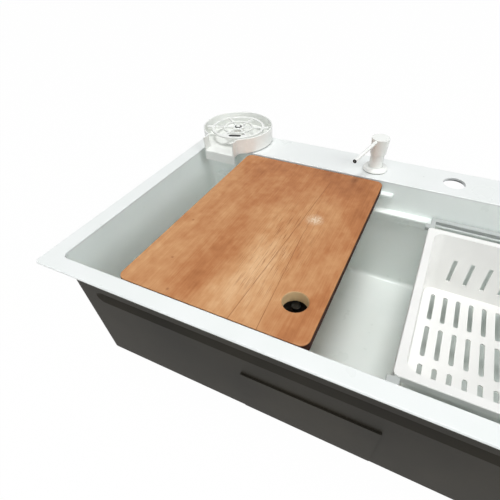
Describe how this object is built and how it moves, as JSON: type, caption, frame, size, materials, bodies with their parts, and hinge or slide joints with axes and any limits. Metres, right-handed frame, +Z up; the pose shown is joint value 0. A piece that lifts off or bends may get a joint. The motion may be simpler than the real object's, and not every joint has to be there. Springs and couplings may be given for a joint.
{
  "type": "kitchen sink",
  "caption": "White coated single-bowl kitchen sink with ledge rails, a sliding colander, a drop-in wooden board, a push cup rinser, a soap pump and a basket strainer waste.",
  "frame": {"origin": "middle of the bowl opening on the worktop plane, which is the underside of the rim", "axes": "+X to the right along the bowl, +Y towards the rear deck, +Z up"},
  "size_m": [0.75, 0.4901, 0.381],
  "materials": {
    "white_coat": "satin white coat baked on steel sheet",
    "dark_coat": "sprayed sound-deadening coat, matt and slightly grained",
    "damping_pad": "pressed damping pad under the same coat",
    "zinc_steel": "zinc-plated steel",
    "board_wood": "oiled hardwood staves glued edge to edge",
    "white_plastic": "moulded polypropylene, fine matt",
    "grey_plastic": "moulded grey nylon",
    "rinser_plastic": "moulded white ABS",
    "black_rubber": "moulded black rubber",
    "acetal": "turned white acetal",
    "spring_steel": "drawn stainless spring wire",
    "brass": "machined brass",
    "pump_plastic": "moulded white ABS",
    "natural_plastic": "blown and moulded natural polythene",
    "dark_plastic": "moulded black nylon",
    "waste_steel": "pressed stainless steel with a gunmetal finish",
    "waste_chrome": "bright chrome plate"
  },
  "bodies": {
    "sink": {"rim_plate": "white_coat", "bowl_shell": "white_coat", "front_ledge_rail": "white_coat", "rear_ledge_rail": "white_coat", "undercoat": "dark_coat", "front_sound_pad": "damping_pad", "rear_sound_pad": "damping_pad", "left_sound_pad": "damping_pad", "right_sound_pad": "damping_pad", "floor_sound_pad": "damping_pad", "tap_stiffener": "zinc_steel", "rinser_washer": "zinc_steel", "dispenser_washer": "zinc_steel", "rinser_body": "rinser_plastic", "rinser_gasket": "black_rubber", "dispenser_gasket": "black_rubber", "strainer_gasket": "black_rubber", "rinser_shank": "acetal", "spring_seat": "acetal", "rinser_spring": "spring_steel", "pump_spring": "spring_steel", "rinser_nut": "brass", "dispenser_flange": "pump_plastic", "pump_cylinder": "natural_plastic", "dip_tube": "natural_plastic", "soap_bottle": "natural_plastic", "dispenser_shank": "dark_plastic", "dispenser_nut": "dark_plastic", "strainer_washer": "dark_plastic", "strainer_nut": "dark_plastic", "strainer_body": "waste_steel", "tailpiece": "waste_chrome", "tail_nut": "waste_chrome"},
    "board": {"cutting_board": "board_wood"},
    "colander": {"colander": "white_plastic"},
    "front_arm": {"front_colander_arm": "grey_plastic"},
    "rear_arm": {"rear_colander_arm": "grey_plastic"},
    "grate": {"rinser_grate": "rinser_plastic", "grate_pad": "black_rubber", "rinser_nozzle": "rinser_plastic", "nozzle_seal": "black_rubber", "rinser_plunger": "acetal"},
    "pump_collar": {"pump_neck": "pump_plastic"},
    "pump_top": {"pump_head": "pump_plastic", "pump_spout": "pump_plastic", "pump_stem": "acetal"},
    "strainer": {"strainer_cup": "waste_steel", "strainer_stopper": "black_rubber", "strainer_knob": "waste_steel"}
  },
  "joints": [
    {"name": "board_lift", "type": "slide", "parent": "sink", "child": "board", "axis": [0, 0, 1], "range_m": [0, 0.02]},
    {"name": "colander_slide", "type": "slide", "parent": "sink", "child": "colander", "axis": [1, 0, 0], "range_m": [-0.4, 0.02]},
    {"name": "front_arm_pull", "type": "slide", "parent": "colander", "child": "front_arm", "axis": [0, -1, 0], "range_m": [-0.022, 0.002]},
    {"name": "rear_arm_pull", "type": "slide", "parent": "colander", "child": "rear_arm", "axis": [0, 1, 0], "range_m": [-0.022, 0.002]},
    {"name": "grate_press", "type": "slide", "parent": "sink", "child": "grate", "axis": [0, 0, -1], "range_m": [0, 0.008], "stiffness_N_per_m": 600, "springref_m": -0.005, "deforming": ["rinser_spring"]},
    {"name": "pump_swivel", "type": "hinge", "parent": "sink", "child": "pump_collar", "pos_m": [-0.0305, 0.214, 0], "axis": [0, 0, 1], "continuous": true},
    {"name": "pump_press", "type": "slide", "parent": "pump_collar", "child": "pump_top", "axis": [0, 0, -1], "range_m": [0, 0.014], "stiffness_N_per_m": 300, "springref_m": -0.01, "deforming": ["pump_spring"]},
    {"name": "strainer_lift", "type": "slide", "parent": "sink", "child": "strainer", "axis": [0, 0, 1], "range_m": [0, 0.04]}
  ]
}
